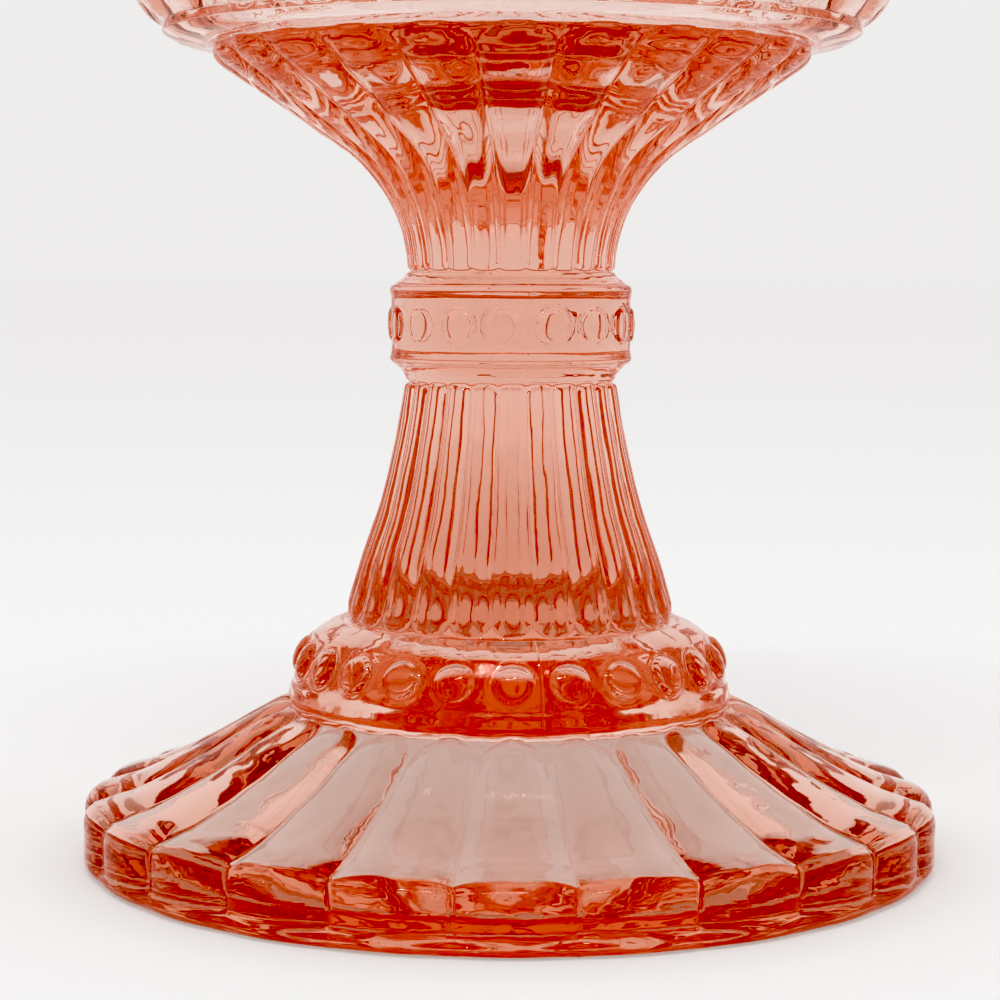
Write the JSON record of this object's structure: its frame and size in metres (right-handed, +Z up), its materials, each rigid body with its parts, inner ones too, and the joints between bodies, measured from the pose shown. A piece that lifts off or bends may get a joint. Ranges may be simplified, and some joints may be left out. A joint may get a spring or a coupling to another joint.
{
  "type": "pedestal candy dish with lid",
  "caption": "Pressed pink glass candy dish on a reeded stem and a hollow lobed foot, with dotted collars, a lobed bowl and a lift-off domed lid with a knob.",
  "frame": {"origin": "centre of the flat ring that the foot stands on, at the bottom of the dish", "axes": "+Z up along the axis of the stem, -Y towards the front, +X to the right seen from the front"},
  "size_m": [0.12, 0.12, 0.2033],
  "materials": {
    "foot_glass": "fire-polished pressed glass, orange pink",
    "stem_glass": "fire-polished pressed glass, orange pink",
    "bowl_glass": "fire-polished pressed glass, orange pink",
    "lid_glass": "fire-polished pressed glass, orange pink"
  },
  "bodies": {
    "dish": {"foot": "foot_glass", "foot_collar": "foot_glass", "stem": "stem_glass", "stem_collar": "stem_glass", "bowl": "bowl_glass"},
    "lid": {"lid": "lid_glass", "lid_knob": "lid_glass"}
  },
  "joints": [
    {"name": "lid_lift", "type": "slide", "parent": "dish", "child": "lid", "axis": [0, 0, 1], "range_m": [0, 0.08]}
  ]
}
